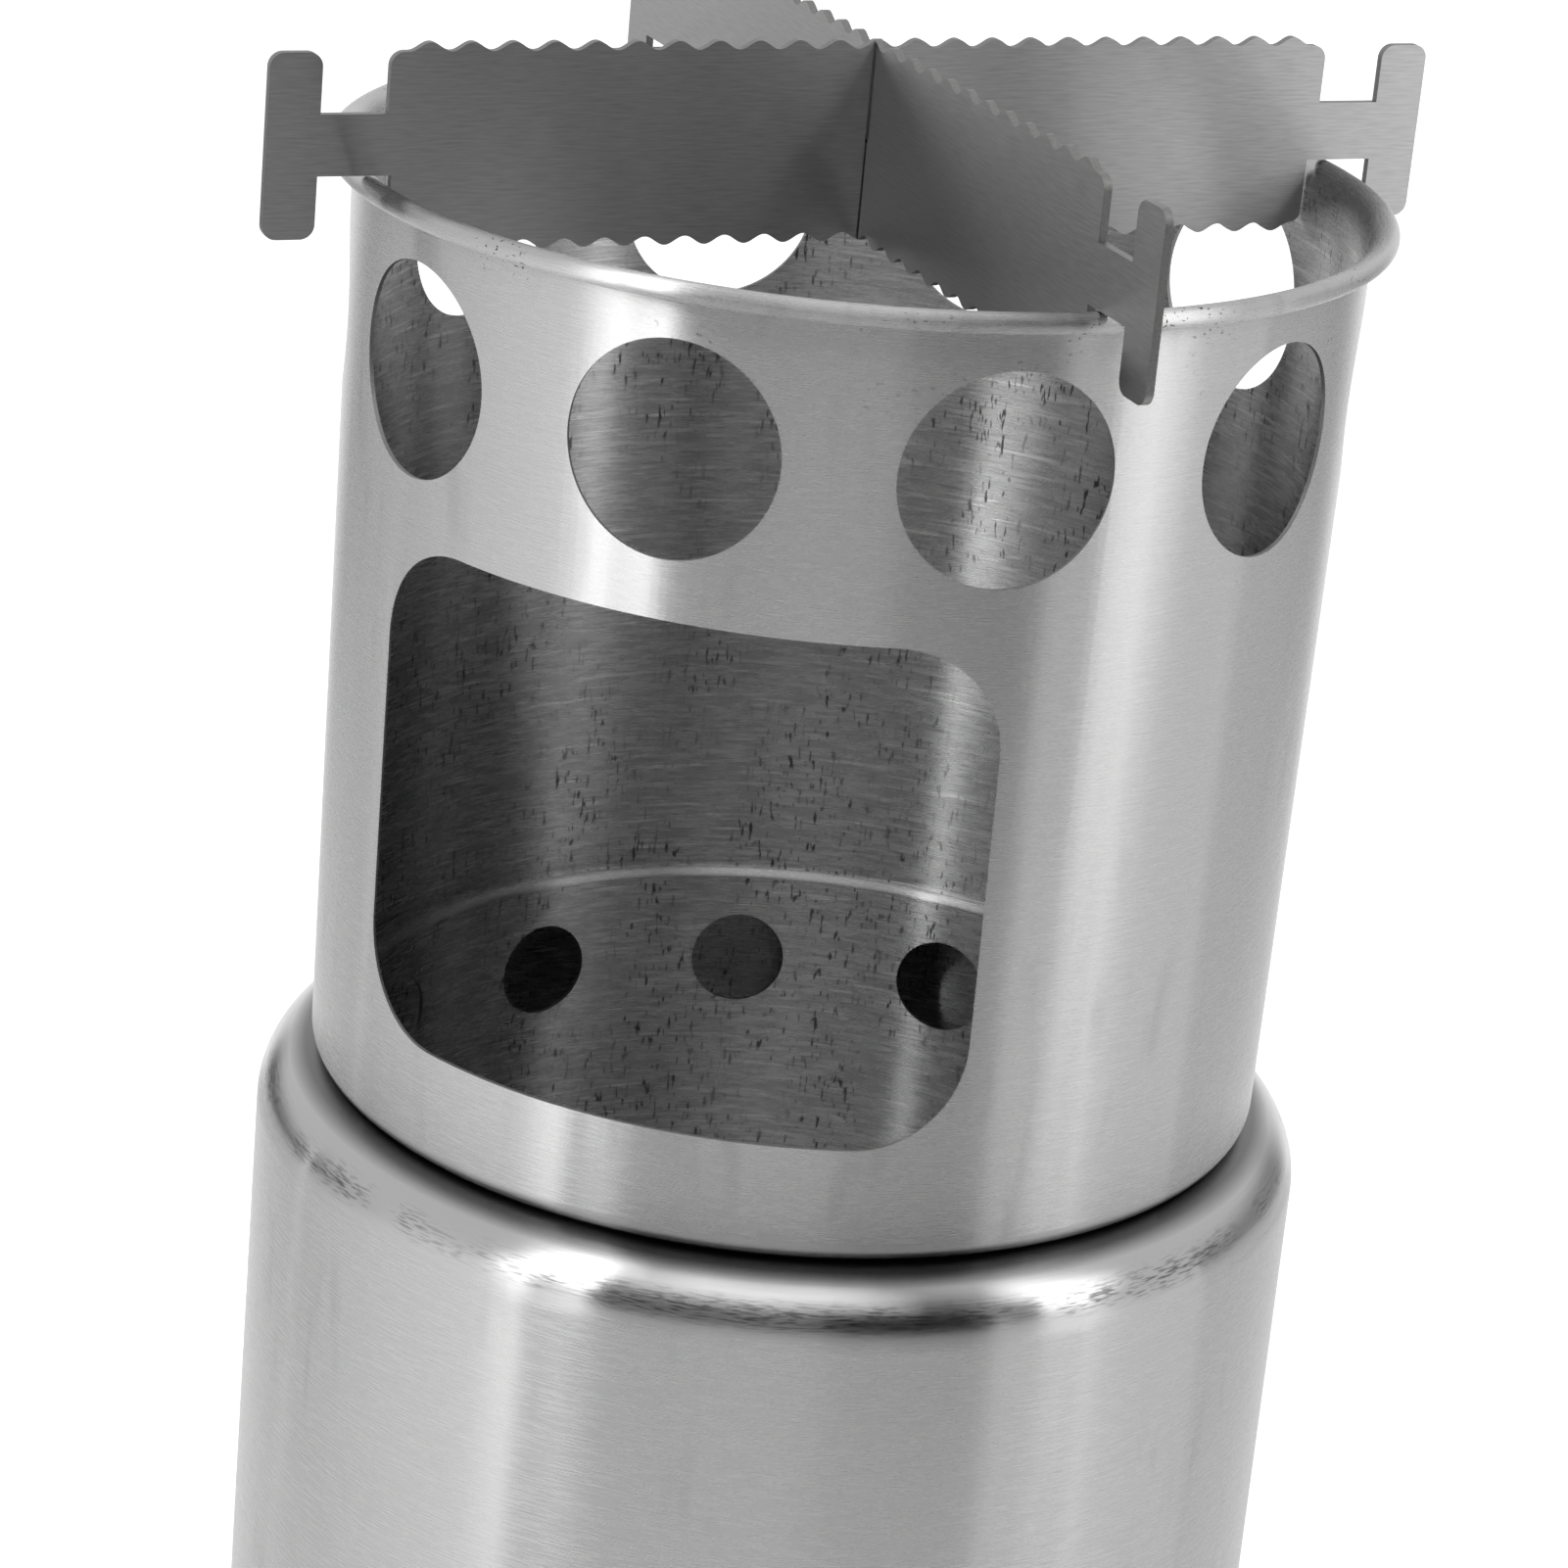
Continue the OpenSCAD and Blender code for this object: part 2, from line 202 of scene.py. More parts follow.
def spin_tree():
    """Turns a closed profile of points round the axis into a sheet."""
    tree, given = new_tree("spin_sheet", {"Steps": "Int", "Inside Top": "Float",
                                          "Outside Finish": "Material", "Inside Finish": "Material"})
    points = add(tree, "GeometryNodeAttributeDomainSize", [given["Geometry"]], component="MESH")
    rows = add(tree, MATH, [points, 1], operation="ADD")
    columns = add(tree, MATH, [given["Steps"], 1], operation="ADD")
    grid = add(tree, "GeometryNodeMeshGrid", {"Vertices X": rows, "Vertices Y": columns})
    index = add(tree, "GeometryNodeInputIndex")
    # The half keeps the division clear of a whole number's rounding
    inside_step = add(tree, MATH, [index, 0.5], operation="ADD")
    rows_before = add(tree, MATH, [inside_step, columns], operation="DIVIDE")
    row = add(tree, MATH, [rows_before], operation="FLOOR")
    column = add(tree, MATH, [index, add(tree, MATH, [row, columns], operation="MULTIPLY")],
                 operation="SUBTRACT")
    point = add(tree, MATH, [row, points], operation="MODULO")
    profile = add(tree, "GeometryNodeSampleIndex",
                  {"Geometry": given["Geometry"], "Index": point, "Value": add(tree, PLACE)},
                  data_type="FLOAT_VECTOR", domain="POINT")
    share = add(tree, MATH, [column, given["Steps"]], operation="DIVIDE")
    turn = add(tree, MATH, [share, 2 * pi], operation="MULTIPLY")
    turned = add(tree, "ShaderNodeVectorRotate", {"Vector": profile, "Angle": turn}, rotation_type="Z_AXIS")
    spun = add(tree, "GeometryNodeSetPosition", {"Geometry": grid, "Position": turned})
    closed = add(tree, MERGE, {"Geometry": spun, "Distance": SPUN_JOIN})
    outside = add(tree, "GeometryNodeSetMaterial",
                  {"Geometry": closed, "Material": given["Outside Finish"]})
    flat = add(tree, VECTOR, [add(tree, PLACE), LEVEL], operation="MULTIPLY")
    outwards = add(tree, VECTOR, [flat, add(tree, "GeometryNodeInputNormal")], operation="DOT_PRODUCT")
    facing_in = add(tree, MATH, [outwards.outputs["Value"], 0], operation="LESS_THAN")
    height = add(tree, SPLIT, [add(tree, PLACE)]).outputs["Z"]
    below = add(tree, MATH, [height, given["Inside Top"]], operation="LESS_THAN")
    inside = add(tree, MATH, [facing_in, below], operation="MULTIPLY")
    return end_tree(tree, outside, given["Inside Finish"], inside)


def cut_away(tree, sheet, cutters, finish):
    """Cuts the cutters out of the sheet and gives the cut edges their finish."""
    marked = add(tree, "GeometryNodeStoreNamedAttribute",
                 {"Geometry": add(tree, "GeometryNodeRealizeInstances", [cutters]), "Name": "cut_edge",
                  "Value": True}, data_type="BOOLEAN", domain="FACE")
    cut = add(tree, "GeometryNodeMeshBoolean", {"Mesh 1": sheet, "Mesh 2": marked},
              operation="DIFFERENCE", solver="EXACT")
    edges = add(tree, "GeometryNodeInputNamedAttribute", {"Name": "cut_edge"}, data_type="BOOLEAN")
    return end_tree(tree, cut, finish, edges)


def holes_tree():
    """Punches a ring of round holes through a wall."""
    tree, given = new_tree("punch_holes", {"Count": "Int", "Diameter": "Float", "Height": "Float",
                                           "Wall Radius": "Float", "Turn": "Float", "Length": "Float",
                                           "Edge Finish": "Material"})
    ring = add(tree, "GeometryNodeMeshCircle",
               {"Vertices": given["Count"], "Radius": given["Wall Radius"]})
    # The first hole of an unturned ring points to -Y
    angle = add(tree, MATH, [given["Turn"], pi / 2], operation="SUBTRACT")
    placed = add(tree, SHIFT, {"Geometry": ring, "Translation": add(tree, COMBINE, {"Z": given["Height"]}),
                               "Rotation": add(tree, COMBINE, {"Z": angle})})
    radial = add(tree, VECTOR, [add(tree, PLACE), LEVEL], operation="MULTIPLY")
    aim = add(tree, "FunctionNodeAlignRotationToVector", {"Vector": radial}, axis="Z")
    radius = add(tree, MATH, [given["Diameter"], 2], operation="DIVIDE")
    drill = add(tree, "GeometryNodeMeshCylinder",
                {"Vertices": HOLE_FACETS, "Radius": radius, "Depth": given["Length"]})
    drills = add(tree, "GeometryNodeInstanceOnPoints",
                 {"Points": placed, "Instance": drill, "Rotation": aim})
    return cut_away(tree, given["Geometry"], drills, given["Edge Finish"])


def thickened(tree, face, offset):
    """A closed block from a flat face and its copy moved by the offset."""
    block = add(tree, "GeometryNodeExtrudeMesh", {"Mesh": face, "Offset": offset, "Offset Scale": 1.0,
                                                  "Individual": False}, mode="FACES")
    whole = add(tree, "GeometryNodeJoinGeometry", [add(tree, "GeometryNodeFlipFaces", [face])])
    tree.links.new(block.outputs["Mesh"], whole.inputs[0])
    return add(tree, MERGE, {"Geometry": whole, "Distance": BLOCK_JOIN})


def door_tree():
    """Cuts the fuel door, whose width is measured round the wall."""
    tree, given = new_tree("cut_fuel_door", {"Width": "Float", "Height": "Float", "Corner Radius": "Float",
                                             "Sill": "Float", "Wall Radius": "Float", "Length": "Float",
                                             "Edge Finish": "Material"})
    outline = add(tree, "GeometryNodeCurvePrimitiveQuadrilateral",
                  {"Width": given["Width"], "Height": given["Height"]})
    rounded = add(tree, "GeometryNodeFilletCurve",
                  {"Curve": outline, "Count": 2 * BEND_STEPS, "Radius": given["Corner Radius"]},
                  mode="POLY")
    stepped = add(tree, "GeometryNodeResampleCurve", {"Curve": rounded, "Length": DOOR_STEP * MM},
                  mode="LENGTH")
    face = add(tree, "GeometryNodeFillCurve", {"Curve": stepped}, mode="NGONS")
    flat = add(tree, SPLIT, [add(tree, PLACE)])
    angle = add(tree, MATH, [flat.outputs["X"], given["Wall Radius"]], operation="DIVIDE")
    across = add(tree, MATH, [add(tree, MATH, [angle], operation="SINE"), given["Wall Radius"]],
                 operation="MULTIPLY")
    middle = add(tree, MATH, [given["Height"], 0.5, given["Sill"]], operation="MULTIPLY_ADD")
    # The cutter begins half its length in front of the axis, clear of the far wall
    start = add(tree, MATH, [given["Length"], -0.5], operation="MULTIPLY")
    up = add(tree, MATH, [flat.outputs["Y"], middle], operation="ADD")
    stood = add(tree, "GeometryNodeSetPosition",
                {"Geometry": face, "Position": add(tree, COMBINE, [across, start, up])})
    back = add(tree, MATH, [given["Length"], -1], operation="MULTIPLY")
    block = thickened(tree, stood, add(tree, COMBINE, {"Y": back}))
    return cut_away(tree, given["Geometry"], block, given["Edge Finish"])


def grate_tree():
    """Punches rings of holes, six more in each ring, through a round blank."""
    tree, given = new_tree("punch_grate", {"Radius": "Float", "Thickness": "Float", "Height": "Float",
                                           "Hole Diameter": "Float", "Pitch": "Float", "Length": "Float",
                                           "Finish": "Material", "Edge Finish": "Material"})
    blank = add(tree, "GeometryNodeMeshCylinder", {"Vertices": SPIN_STEPS, "Radius": given["Radius"],
                                                   "Depth": given["Thickness"]})
    sheet = add(tree, "GeometryNodeSetMaterial", {"Geometry": blank, "Material": given["Finish"]})
    radius = add(tree, MATH, [given["Hole Diameter"], 2], operation="DIVIDE")
    drill = add(tree, "GeometryNodeMeshCylinder",
                {"Vertices": HOLE_FACETS // 2, "Radius": radius, "Depth": given["Length"]})
    centres = add(tree, "GeometryNodeJoinGeometry", [add(tree, "GeometryNodeMeshLine", {"Count": 1})])
    for ring in range(1, GRATE_RINGS + 1):
        reach = add(tree, MATH, [given["Pitch"], ring], operation="MULTIPLY")
        circle = add(tree, "GeometryNodeMeshCircle", {"Vertices": 6 * ring, "Radius": reach})
        tree.links.new(circle.outputs[0], centres.inputs[0])
    drills = add(tree, "GeometryNodeInstanceOnPoints", {"Points": centres, "Instance": drill})
    middle = add(tree, MATH, [given["Thickness"], 0.5, given["Height"]], operation="MULTIPLY_ADD")
    lift = add(tree, COMBINE, {"Z": middle})
    raised = [add(tree, SHIFT, {"Geometry": part, "Translation": lift}) for part in (sheet, drills)]
    return cut_away(tree, *raised, given["Edge Finish"])


def plate_tree():
    """Waves the marked edges of a flat outline, thickens it, slots it and stands it on the rim."""
    tree, given = new_tree("waved_plate", {"Wave Pitch": "Float", "Wave Height": "Float",
                                           "Thickness": "Float", "Slot Width": "Float",
                                           "Slot Low": "Float", "Slot High": "Float",
                                           "Turn": "Float", "Height": "Float", "Edge Finish": "Material"})
    x = add(tree, SPLIT, [add(tree, PLACE)]).outputs["X"]
    share = add(tree, MATH, [x, given["Wave Pitch"]], operation="DIVIDE")
    phase = add(tree, MATH, [share, 2 * pi], operation="MULTIPLY")
    wave = add(tree, MATH, [1, add(tree, MATH, [phase], operation="COSINE")], operation="SUBTRACT")
    half_height = add(tree, MATH, [given["Wave Height"], 2], operation="DIVIDE")
    depth = add(tree, MATH, [wave, half_height], operation="MULTIPLY")
    side = add(tree, "GeometryNodeInputNamedAttribute", {"Name": "waved"}, data_type="FLOAT")
    drop = add(tree, COMBINE, {"Z": add(tree, MATH, [depth, side], operation="MULTIPLY")})
    waved = add(tree, "GeometryNodeSetPosition", {"Geometry": given["Geometry"], "Offset": drop})
    block = thickened(tree, waved, add(tree, COMBINE, {"Y": given["Thickness"]}))
    back = add(tree, MATH, [given["Thickness"], -0.5], operation="MULTIPLY")
    centred = add(tree, SHIFT, {"Geometry": block, "Translation": add(tree, COMBINE, {"Y": back})})
    slot_depth = add(tree, MATH, [given["Thickness"], SLOT_CUTTER], operation="MULTIPLY")
    slot_tall = add(tree, MATH, [given["Slot High"], given["Slot Low"]], operation="SUBTRACT")
    slot_mid = add(tree, MATH, [slot_tall, 0.5, given["Slot Low"]], operation="MULTIPLY_ADD")
    slot_size = add(tree, COMBINE, [given["Slot Width"], slot_depth, slot_tall])
    slot = add(tree, SHIFT, {"Geometry": add(tree, "GeometryNodeMeshCube", {"Size": slot_size}),
                             "Translation": add(tree, COMBINE, {"Z": slot_mid})})
    cut = add(tree, "GeometryNodeMeshBoolean", {"Mesh 1": centred, "Mesh 2": slot},
              operation="DIFFERENCE", solver="EXACT")
    facing = add(tree, VECTOR, [add(tree, "GeometryNodeInputNormal"), (0, 1, 0)],
                 operation="DOT_PRODUCT")
    cosine = add(tree, MATH, [facing.outputs["Value"]], operation="ABSOLUTE")
    on_edge = add(tree, MATH, [cosine, EDGE_COSINE], operation="LESS_THAN")
    stored = add(tree, "GeometryNodeStoreNamedAttribute",
                 {"Geometry": cut, "Name": "cut_edge", "Value": on_edge},
                 data_type="BOOLEAN", domain="FACE")
    stood = add(tree, SHIFT, {"Geometry": stored, "Translation": add(tree, COMBINE, {"Z": given["Height"]}),
                              "Rotation": add(tree, COMBINE, {"Z": given["Turn"]})})
    edges = add(tree, "GeometryNodeInputNamedAttribute", {"Name": "cut_edge"}, data_type="BOOLEAN")
    return end_tree(tree, stood, given["Edge Finish"], edges)


# Finishes

# Most of a noise's values lie between these
USUAL = (0.3, 0.7)
# How far the side lobes of brushed steel lean, and the turn that lays a highlight across the grain
GRAIN_LEAN, GRAIN_TURN = radians(21), 0.25
# Roughness between the lines of a grain and on them, and the depth of its relief in millimetres
SATIN_ROUGHNESS, SATIN_DEPTH = (0.25, 0.29), 0.0007
INNER_ROUGHNESS, INNER_DEPTH = (0.24, 0.3), 0.002
PLATE_ROUGHNESS, PLATE_DEPTH = (0.36, 0.44), 0.0035
CUT_ROUGHNESS, CUT_DEPTH = 0.5, 0.01
# Grains round the axis: length and width in millimetres and seed
SATIN_GRAIN, SHOULDER_GRAIN = (4, 0.22, 0.0), (60, 0.45, 7.0)
INNER_GRAIN, SCRATCH_GRAIN = (5, 0.3, 2.0), (14, 0.5, 9.0)
# Length and width of the plates' grain, and width of a cut edge's, in millimetres
PLATE_GRAIN, CUT_GRAIN = (10 / 3, 2 / 7), 1 / 3
# Where a scratch begins and is full on the crests of its grain, and how bright it gets
SCRATCH_EDGE, SCRATCH_SHARE = (0.6, 0.7), 0.6
# Marks and the patches that they keep to: width, depth and height in millimetres, edge and seed
SMEARS, SMEAR_PATCHES, SMEAR_SHARE = ((3, 3, 16), 0.55, 0.75), ((30, 30, 30), 0.45, 0.6, 4.0), 0.3
PITS, PIT_PATCHES = ((0.55, 0.55, 0.5), 0.66, 0.7), ((14, 14, 10), 0.5, 0.6, 9.0)
# The marks on the shoulder are painted reflections of dark things round the stove
PAINTED_REFLECTIONS, PAINTED_REFLECTION_PATCHES = ((2, 2, 0.2), 0.48, 0.66, 3.0), ((12, 12, 12), 0.35, 0.55, 6.0)
DRAW_MARKS, DRAW_PATCHES = ((0.45, 0.45, 2.0), 0.62, 0.68), ((12, 12, 18), 0.4, 0.55, 2.0)
# Pits begin and are full so far below the rim, in millimetres
PITS_BEGIN, PITS_FULL = 14, 4
# Middle of the smooth shoulder and of its painted dark reflections below the base's top, and how far off
# they fade
SMOOTH_DROP, SMOOTH_FADE = 2, (2.5, 5)
PAINTED_REFLECTION_DROP, PAINTED_REFLECTION_FADE = 4.2, (0.3, 2)
# Roughness and lean of the smooth shoulder, as shares of the walls', and its lines' height in grains
SMOOTH_ROUGHNESS, SMOOTH_LEAN, SMOOTH_LINES = 0.6, 0.25, 20.0
# Painted shade on the base under the chamber's foot begins and is full so far below the base's top, thins
# out so far above the foot, and covers
PAINTED_SHADE_BEGIN, PAINTED_SHADE_FULL, PAINTED_SHADE_THIN, PAINTED_SHADE_COVER = 1.4, 0.4, 0.5, 0.75


def srgb(code):
    """Linear colour of a hex code."""
    parts = [int(code[i:i + 2], 16) / 255 for i in (1, 3, 5)]
    return (*[c / 12.92 if c <= 0.04045 else ((c + 0.055) / 1.055) ** 2.4 for c in parts], 1)


def new_material(name):
    material = bpy.data.materials.new(name)
    material.use_nodes = True
    tree = material.node_tree
    tree.nodes.clear()
    return material, tree


def round_grain(tree, streak, line, seed):
    """Noise for grain that runs round the axis: streak and line are its length and width in mm,
    coarser than the real grain, which is too fine to show."""
    place = add(tree, "ShaderNodeTexCoord").outputs["Object"]
    across = add(tree, VECTOR, [place, LEVEL], operation="MULTIPLY")
    outwards = add(tree, VECTOR, [across], operation="NORMALIZE")
    ring = add(tree, VECTOR, {0: outwards, "Scale": BASE_R / streak}, operation="SCALE")
    up = add(tree, VECTOR, [place, (0, 0, 1 / (line * MM))], operation="MULTIPLY")
    radius = add(tree, VECTOR, [across], operation="LENGTH").outputs["Value"]
    where = add(tree, VECTOR, [ring, up], operation="ADD")
    depth = add(tree, MATH, [radius, 1 / (line * MM), seed], operation="MULTIPLY_ADD")
    return add(tree, NOISE, {"Vector": where, "W": depth, "Scale": 1.0, "Detail": 2.0},
               noise_dimensions="4D")


def spots(tree, size, low, high, seed=0.0):
    """0 to 1 in scattered spots: size is their width, depth and height in mm, low to high their
    edge."""
    place = add(tree, "ShaderNodeTexCoord").outputs["Object"]
    scaled = add(tree, "ShaderNodeMapping", {"Vector": place, "Location": (seed, seed, seed),
                                             "Scale": [1 / (s * MM) for s in size]})
    noise = add(tree, NOISE, {"Vector": scaled, "Scale": 1.0, "Detail": 1.0})
    return add(tree, RANGE, [noise, low, high, 0.0, 1.0])


def patches(tree, marks, places):
    """Marks that show only where some wider spots lie."""
    return add(tree, MATH, [spots(tree, *marks), spots(tree, *places)], operation="MULTIPLY")


def height_off(tree, height, level):
    """How far a height lies from a level in millimetres, up or down."""
    apart = add(tree, MATH, [height, level * MM], operation="SUBTRACT")
    return add(tree, MATH, [apart], operation="ABSOLUTE")


def steel(tree, colour, roughness, bump, depth, along, lean=1.0):
    """Brushed stainless steel. The grain scatters light across itself, more than one shader does, so
    two more lean across the grain, to either side. Along the grain the reflections stay crisp."""
    lift = add(tree, "ShaderNodeBump", {"Height": bump, "Distance": depth * MM, "Strength": 1.0})
    across = add(tree, VECTOR, [lift, along], operation="CROSS_PRODUCT")
    shader = None
    for lobe, side in enumerate((0, -1, 1)):
        reach = add(tree, MATH, [lean, side * tan(GRAIN_LEAN)], operation="MULTIPLY")
        shift = add(tree, VECTOR, {0: across, "Scale": reach}, operation="SCALE")
        leant = add(tree, VECTOR, [shift, lift], operation="ADD")
        one = add(tree, "ShaderNodeBsdfPrincipled",
                  {"Base Color": colour, "Metallic": 1.0, "Roughness": roughness, "Anisotropic": 1.0,
                   "Anisotropic Rotation": GRAIN_TURN, "Tangent": along,
                   "Normal": add(tree, VECTOR, [leant], operation="NORMALIZE")})
        shader = add(tree, "ShaderNodeMixShader", [1 / (lobe + 1), shader, one]) if shader else one
    add(tree, "ShaderNodeOutputMaterial", [shader])


def satin_spun_steel():
    """Stainless steel, satin-brushed round the axis: fine lines, soft tall bands of light."""
    material, tree = new_material("satin_spun_stainless")
    fine = round_grain(tree, *SATIN_GRAIN)
    shade = add(tree, RANGE, [fine, *USUAL, 0.0, 1.0])
    colour = add(tree, MIX, {SHARE: shade, FIRST: srgb("#adadad"), SECOND: srgb("#b4b4b4")},
                 data_type="RGBA")
    # Handling leaves faint upright smears
    smear = add(tree, MATH, [patches(tree, SMEARS, SMEAR_PATCHES), SMEAR_SHARE], operation="MULTIPLY")
    smeared = add(tree, MIX, {SHARE: smear, FIRST: colour.outputs[MIXED], SECOND: srgb("#8e8e8e")},
                  data_type="RGBA")
    height = add(tree, SPLIT, [add(tree, "ShaderNodeTexCoord").outputs["Object"]]).outputs["Z"]
    # The shoulder is smoother than the walls, with long lines round it
    off_shoulder = height_off(tree, height, BASE_H - SMOOTH_DROP)
    wall = add(tree, RANGE, [off_shoulder, *[reach * MM for reach in SMOOTH_FADE], 0.0, 1.0])
    shone = add(tree, MIX, {SHARE: wall, FIRST: srgb("#acacac"), SECOND: smeared.outputs[MIXED]},
                data_type="RGBA")
    # The roll of the rim leaves pits under it
    under_rim = add(tree, RANGE, [height, (RIM_Z - PITS_BEGIN) * MM, (RIM_Z - PITS_FULL) * MM, 0.0, 1.0])
    pits = add(tree, MATH, [patches(tree, PITS, PIT_PATCHES), under_rim], operation="MULTIPLY")
    pitted = add(tree, MIX, {SHARE: pits, FIRST: shone.outputs[MIXED], SECOND: srgb("#4c4c4b")},
                 data_type="RGBA")
    # Painted reflection: dark patches on the outer edge of the shoulder stand in for reflections of dark
    # things round the stove
    off_edge = height_off(tree, height, BASE_H - PAINTED_REFLECTION_DROP)
    at_edge = add(tree, RANGE, [off_edge, *[reach * MM for reach in PAINTED_REFLECTION_FADE], 1.0, 0.0])
    painted_reflections = add(tree, MATH, [patches(tree, PAINTED_REFLECTIONS, PAINTED_REFLECTION_PATCHES), at_edge], operation="MULTIPLY")
    reflections_painted = add(tree, MIX, {SHARE: painted_reflections, FIRST: pitted.outputs[MIXED], SECOND: srgb("#6c6c6c")},
                  data_type="RGBA")
    # Painted shade: the base under the chamber's foot is darkened where the gap between them lies in shadow
    on_base = add(tree, RANGE, [height, FOOT_Z * MM, (FOOT_Z + PAINTED_SHADE_THIN) * MM, 1.0, 0.0])
    painted_shade = add(tree, RANGE, [height, (BASE_H - PAINTED_SHADE_BEGIN) * MM, (BASE_H - PAINTED_SHADE_FULL) * MM,
                             0.0, PAINTED_SHADE_COVER])
    painted_shade_share = add(tree, MATH, [painted_shade, on_base], operation="MULTIPLY")
    shade_painted = add(tree, MIX, {SHARE: painted_shade_share, FIRST: reflections_painted.outputs[MIXED], SECOND: srgb("#2c2c2c")},
                data_type="RGBA")
    rough = add(tree, MATH, [add(tree, RANGE, [fine, *USUAL, *SATIN_ROUGHNESS]),
                             add(tree, RANGE, [wall, 0.0, 1.0, SMOOTH_ROUGHNESS, 1.0])],
                operation="MULTIPLY")
    # Its lines end half way to the wall's full finish
    lines = add(tree, MATH, [round_grain(tree, *SHOULDER_GRAIN),
                             add(tree, RANGE, [wall, 0.0, 0.5, SMOOTH_LINES, 0.0])],
                operation="MULTIPLY")
    relief = add(tree, MATH, [fine, lines], operation="ADD")
    tangent = add(tree, "ShaderNodeTangent", direction_type="RADIAL", axis="Z")
    lean = add(tree, RANGE, [wall, 0.0, 1.0, SMOOTH_LEAN, 1.0])
    steel(tree, shade_painted.outputs[MIXED], rough, relief, SATIN_DEPTH, tangent, lean)
    return material


def scoured_inner_steel():
    """Inside of the drawn sheet: scratched round the wall, with short dark draw marks across it."""
    material, tree = new_material("scoured_inner_stainless")
    fine = round_grain(tree, *INNER_GRAIN)
    shade = add(tree, RANGE, [fine, *USUAL, 0.0, 1.0])
    colour = add(tree, MIX, {SHARE: shade, FIRST: srgb("#a0a0a0"), SECOND: srgb("#bebebe")},
                 data_type="RGBA")
    # Only the crests of a coarser grain show, as bright scratches
    scratch = add(tree, RANGE, [round_grain(tree, *SCRATCH_GRAIN), *SCRATCH_EDGE, 0.0, SCRATCH_SHARE])
    scored = add(tree, MIX, {SHARE: scratch, FIRST: colour.outputs[MIXED], SECOND: srgb("#e0e0df")},
                 data_type="RGBA")
    marked = add(tree, MIX, {SHARE: patches(tree, DRAW_MARKS, DRAW_PATCHES),
                             FIRST: scored.outputs[MIXED], SECOND: srgb("#4a4a4a")}, data_type="RGBA")
    tangent = add(tree, "ShaderNodeTangent", direction_type="RADIAL", axis="Z")
    rough = add(tree, RANGE, [fine, *USUAL, *INNER_ROUGHNESS])
    steel(tree, marked.outputs[MIXED], rough, fine, INNER_DEPTH, tangent)
    return material


def cut_steel():
    """Edge left by a punch or laser: dull and darker than the face."""
    material, tree = new_material("cut_edge_stainless")
    place = add(tree, "ShaderNodeTexCoord").outputs["Object"]
    burr = add(tree, NOISE, {"Vector": place, "Scale": 1 / (CUT_GRAIN * MM), "Detail": 2.0})
    colour = add(tree, MIX, {SHARE: burr, FIRST: srgb("#6c6c6b"), SECOND: srgb("#8c8c8b")},
                 data_type="RGBA")
    lift = add(tree, "ShaderNodeBump", {"Height": burr, "Distance": CUT_DEPTH * MM, "Strength": 1.0})
    shader = add(tree, "ShaderNodeBsdfPrincipled",
                 {"Base Color": colour.outputs[MIXED], "Metallic": 1.0, "Roughness": CUT_ROUGHNESS,
                  "Normal": lift})
    add(tree, "ShaderNodeOutputMaterial", [shader])
    return material


def brushed_plate_steel():
    """Cold-rolled plate, brushed along its length, so light spreads up and down. Its lines are drawn
    coarser than they are, because the real ones are too fine to show."""
    material, tree = new_material("brushed_plate_stainless")
    place = add(tree, "ShaderNodeUVMap", uv_map="along_plate")
    scale = (*[1 / (size * MM) for size in PLATE_GRAIN], 1)
    scaled = add(tree, "ShaderNodeMapping", {"Vector": place, "Scale": scale})
    fine = add(tree, NOISE, {"Vector": scaled, "Scale": 1.0, "Detail": 2.0})
    shade = add(tree, RANGE, [fine, *USUAL, 0.0, 1.0])
    colour = add(tree, MIX, {SHARE: shade, FIRST: srgb("#a2a2a2"), SECOND: srgb("#b2b2b2")},
                 data_type="RGBA")
    tangent = add(tree, "ShaderNodeTangent", direction_type="UV_MAP", uv_map="along_plate")
    rough = add(tree, RANGE, [fine, *USUAL, *PLATE_ROUGHNESS])
    steel(tree, colour.outputs[MIXED], rough, fine, PLATE_DEPTH, tangent, 0.0)
    return material


SATIN = satin_spun_steel()
INNER = scoured_inner_steel()
CUT = cut_steel()
PLATE = brushed_plate_steel()

# Making the pieces

SPIN, HOLES, DOOR, GRATE, WAVED = spin_tree(), holes_tree(), door_tree(), grate_tree(), plate_tree()


def new_piece(name, vertices, faces=()):
    mesh = bpy.data.meshes.new(name)
    mesh.from_pydata(vertices, (), faces)
    piece = bpy.data.objects.new(name, mesh)
    bpy.context.scene.collection.objects.link(piece)
    return piece


def shape_by(piece, tree, values):
    """Adds a node tree as a modifier and sets its inputs."""
    modifier = piece.modifiers.new(tree.name, "NODES")
    modifier.node_group = tree
    for socket in tree.interface.items_tree:
        if socket.in_out == "INPUT" and socket.name in values:
            modifier[socket.identifier] = values[socket.name]


def finish_piece(piece, node, body):
    """Makes the evaluated shape a plain mesh that stands for its node and rides on its body."""
    evaluated = piece.evaluated_get(bpy.context.evaluated_depsgraph_get())
    mesh = bpy.data.meshes.new_from_object(evaluated)
    mesh.name = piece.name
    piece.data = mesh
    piece.modifiers.clear()
    mesh.shade_smooth()
    mesh.set_sharp_from_angle(angle=SMOOTH_BELOW)
    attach(piece, body)
    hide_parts(node)
    return piece


def spun_piece(name, path, inside_top):
    outline = sheet_outline(path) * MM
    piece = new_piece(name, [(x, 0, z) for x, z in outline])
    shape_by(piece, SPIN, {"Steps": SPIN_STEPS, "Inside Top": inside_top * MM,
                           "Outside Finish": SATIN, "Inside Finish": INNER})
    return piece


